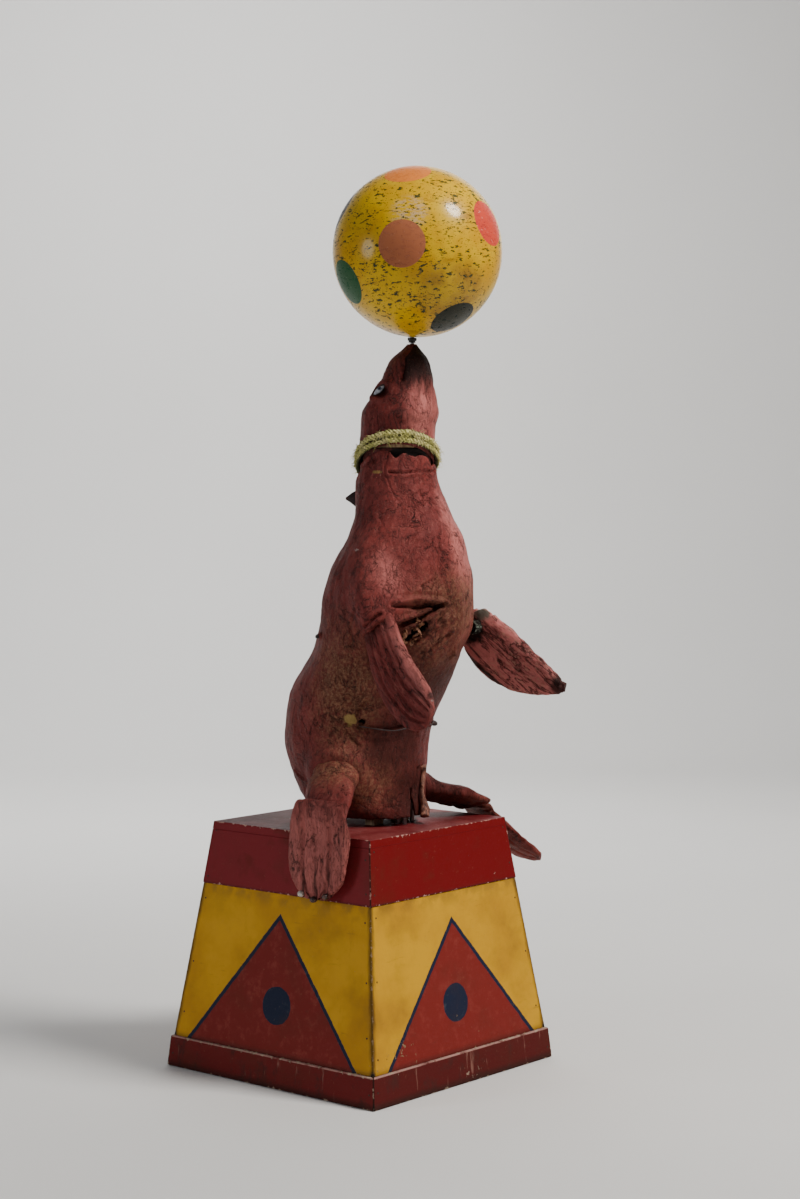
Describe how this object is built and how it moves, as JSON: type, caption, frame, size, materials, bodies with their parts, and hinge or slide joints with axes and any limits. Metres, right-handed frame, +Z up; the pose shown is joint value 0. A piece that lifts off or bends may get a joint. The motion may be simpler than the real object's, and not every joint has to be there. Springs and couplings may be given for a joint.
{
  "type": "circus seal automaton",
  "caption": "Weathered display automaton of a seal with a spotted ball on its nose, seated on a painted square pedestal with a door at the back",
  "frame": {"origin": "centre of the pedestal's underside, on the floor", "axes": "+Z up; the seal looks along -Y; its near side in the picture is -X and its far side +X; the service door is on the +Y side"},
  "size_m": [0.5583, 0.5998, 1.6384],
  "materials": {
    "red_boards": "worn, chipped gloss paint over wood",
    "yellow_boards": "worn, stained gloss paint over wood",
    "raw_wood": "unpainted, planed",
    "seal_skin": "moulded paper, painted, cracked and varnished",
    "ball_skin": "moulded paper, gloss painted, chipped",
    "steel": "turned and ground, lightly oiled",
    "brass": "turned",
    "rubber": "moulded, matt",
    "gear_iron": "cast, painted grey",
    "motor_paint": "enamelled, semi-gloss",
    "black_fitting": "moulded, matt",
    "rope": "twisted, frayed cord",
    "cloth": "coarse cotton, dirty",
    "eye": "glazed, painted pupil"
  },
  "bodies": {
    "pedestal": {"base_boards": "red_boards", "bottom_board": "raw_wood", "side_panels": "yellow_boards", "rear_panel": "yellow_boards", "corner_posts": "raw_wood", "cap_boards": "red_boards", "deck_board": "raw_wood", "top_board": "red_boards", "door_stop": "raw_wood", "panel_hinge_leaves": "steel", "hinge_pins": "steel", "cable_gland": "black_fitting", "motor_stand": "raw_wood", "gearbox_case": "gear_iron", "motor_case": "motor_paint", "bearing_board": "raw_wood", "body_posts": "raw_wood", "body_formers": "raw_wood", "neck_former": "raw_wood", "neck_bearing": "raw_wood", "shoulder_plates": "raw_wood", "torso_skin": "seal_skin", "near_ankle": "seal_skin", "near_tail_flipper": "seal_skin", "far_ankle": "seal_skin", "far_tail_flipper": "seal_skin"},
    "door": {"service_door": "yellow_boards", "door_hinge_leaves": "steel", "door_knob": "black_fitting"},
    "crank": {"crank_shaft": "steel", "friction_disc": "steel"},
    "side_crank": {"head_crank": "steel"},
    "drive_rod": {"drive_rod": "steel", "friction_wheel": "rubber", "lower_flex_joint": "rubber"},
    "mid_shaft": {"mid_shaft": "steel", "upper_flex_joint": "rubber"},
    "ball": {"nose_spindle": "steel", "spindle_collar": "black_fitting", "ball_hub": "raw_wood", "ball": "ball_skin"},
    "head": {"head_skin": "seal_skin", "head_core": "raw_wood", "neck_plug": "raw_wood", "neck_tail": "steel", "nose_bush": "brass", "rope_collar": "rope", "eyes": "eye"},
    "head_link": {"head_link": "steel"},
    "rock_shaft": {"rock_shaft": "steel"},
    "rock_link": {"rock_link": "steel"},
    "lift": {"lift_rod": "steel", "lift_yoke": "raw_wood", "side_rods": "steel"},
    "lift_link": {"lift_link": "steel"},
    "near_flipper": {"near_flipper": "seal_skin", "near_axle": "steel"},
    "far_flipper": {"far_flipper": "seal_skin", "far_axle": "steel", "far_cuff": "cloth"}
  },
  "joints": [
    {"name": "ball_spin", "type": "hinge", "parent": "head", "child": "ball", "pos_m": [0, -0.128, 1.322], "axis": [0, -0.0819, 0.9966], "continuous": true},
    {"name": "mid_shaft_spin", "type": "hinge", "parent": "head", "child": "mid_shaft", "pos_m": [0, -0.092, 1.15], "axis": [0, -0.2915, 0.9566], "continuous": true},
    {"name": "drive_rod_spin", "type": "hinge", "parent": "pedestal", "child": "drive_rod", "pos_m": [0, -0.092, 0.3], "axis": [0, 0, 1], "continuous": true},
    {"name": "crank_turn", "type": "hinge", "parent": "pedestal", "child": "crank", "pos_m": [0, 0, 0.25], "axis": [0, 1, 0], "continuous": true},
    {"name": "side_crank_turn", "type": "hinge", "parent": "pedestal", "child": "side_crank", "pos_m": [0.048, 0.036, 0.25], "axis": [1, 0, 0], "continuous": true},
    {"name": "head_turn", "type": "hinge", "parent": "pedestal", "child": "head", "pos_m": [0, -0.092, 1.1], "axis": [0, 0, 1], "range_deg": [-15, 15]},
    {"name": "rock_turn", "type": "hinge", "parent": "pedestal", "child": "rock_shaft", "pos_m": [0.04, -0.092, 0.7], "axis": [0, 0, 1], "range_deg": [-15, 15]},
    {"name": "head_link_swing", "type": "hinge", "parent": "head", "child": "head_link", "pos_m": [0, -0.118, 1.037], "axis": [0, 0, 1], "range_deg": [-15, 15]},
    {"name": "rock_link_swing", "type": "hinge", "parent": "rock_shaft", "child": "rock_link", "pos_m": [0.074, -0.092, 0.2588], "axis": [0, 0, 1], "range_deg": [-15, 15]},
    {"name": "lift_slide", "type": "slide", "parent": "pedestal", "child": "lift", "axis": [0, 0, 1], "range_m": [-0.01892, 0]},
    {"name": "lift_link_swing", "type": "hinge", "parent": "lift", "child": "lift_link", "pos_m": [0, -0.133, 0.316], "axis": [0, 1, 0], "range_deg": [-8, 8]},
    {"name": "near_flipper_swing", "type": "hinge", "parent": "pedestal", "child": "near_flipper", "pos_m": [0, -0.172, 0.808], "axis": [1, 0, 0], "range_deg": [-35, 0]},
    {"name": "far_flipper_swing", "type": "hinge", "parent": "pedestal", "child": "far_flipper", "pos_m": [0, -0.172, 0.808], "axis": [1, 0, 0], "range_deg": [-35, 0]},
    {"name": "door_swing", "type": "hinge", "parent": "pedestal", "child": "door", "pos_m": [0, 0.24181, 0.09341], "axis": [-1, 0, 0], "range_deg": [0, 90]}
  ],
  "couplings": [
    {"joint": "mid_shaft_spin", "follows": "ball_spin", "ratio": 1},
    {"joint": "drive_rod_spin", "follows": "ball_spin", "ratio": 1},
    {"joint": "crank_turn", "follows": "ball_spin", "ratio": -0.5},
    {"joint": "side_crank_turn", "follows": "ball_spin", "ratio": 0.25},
    {"joint": "rock_turn", "follows": "head_turn", "ratio": 1},
    {"joint": "head_link_swing", "follows": "head_turn", "ratio": -1},
    {"joint": "rock_link_swing", "follows": "head_turn", "ratio": -1},
    {"joint": "near_flipper_swing", "follows": "lift_slide", "rad_per_m": 32.29},
    {"joint": "far_flipper_swing", "follows": "lift_slide", "rad_per_m": 32.29}
  ]
}
